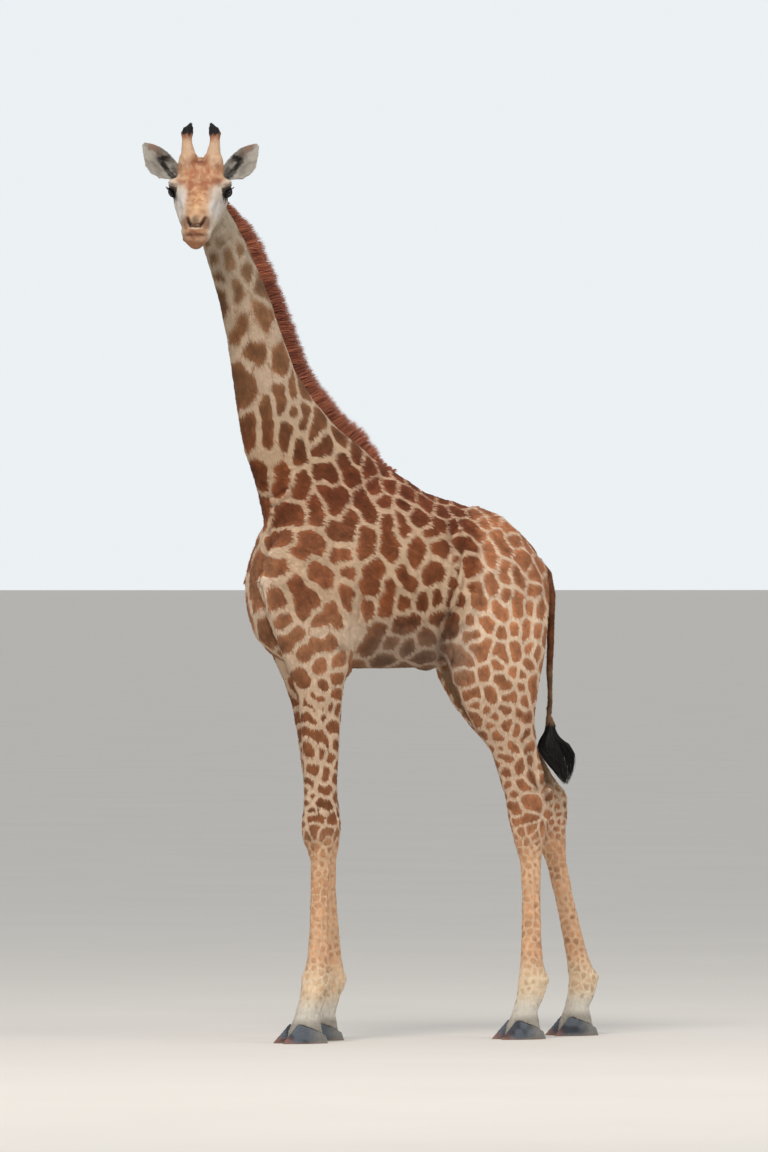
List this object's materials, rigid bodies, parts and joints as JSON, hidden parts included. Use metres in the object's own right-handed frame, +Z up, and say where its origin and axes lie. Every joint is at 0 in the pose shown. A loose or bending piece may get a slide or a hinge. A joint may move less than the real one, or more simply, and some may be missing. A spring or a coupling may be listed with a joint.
{
  "type": "giraffe",
  "caption": "Young giraffe with patched coat, tufted horns, upright mane and tail tuft, standing in an easy walk stance with its head turned to its left.",
  "frame": {"origin": "middle of the bottom of the whole animal's box, on the floor", "axes": "+Z up, the body faces -Y, the animal's left side is +X"},
  "size_m": [0.67, 2.34, 4.1679],
  "materials": {
    "coat": "short patterned hair",
    "mane": "stiff upright hair",
    "tuft": "long coarse hair",
    "ear": "fine short hair",
    "ossicone": "haired skin over bone",
    "horn": "worn hoof horn",
    "eye": "wet and dark"
  },
  "bodies": {
    "root": {"ear_left": "ear", "ear_right": "ear", "eye_left": "eye", "eye_right": "eye", "head": "coat", "hoof_fore_left_inner": "horn", "hoof_fore_left_outer": "horn", "hoof_fore_right_inner": "horn", "hoof_fore_right_outer": "horn", "hoof_hind_left_inner": "horn", "hoof_hind_left_outer": "horn", "hoof_hind_right_inner": "horn", "hoof_hind_right_outer": "horn", "jaw": "coat", "leg_fore_left_foot": "coat", "leg_fore_left_lower": "coat", "leg_fore_left_upper": "coat", "leg_fore_right_foot": "coat", "leg_fore_right_lower": "coat", "leg_fore_right_upper": "coat", "leg_hind_left_foot": "coat", "leg_hind_left_lower": "coat", "leg_hind_left_upper": "coat", "leg_hind_right_foot": "coat", "leg_hind_right_lower": "coat", "leg_hind_right_upper": "coat", "mane_lower": "mane", "mane_upper": "mane", "neck_lower": "coat", "neck_middle": "coat", "neck_upper": "coat", "ossicone_left": "ossicone", "ossicone_right": "ossicone", "tail_dock": "coat", "tail_tuft": "tuft", "trunk": "coat"}
  },
  "joints": []
}
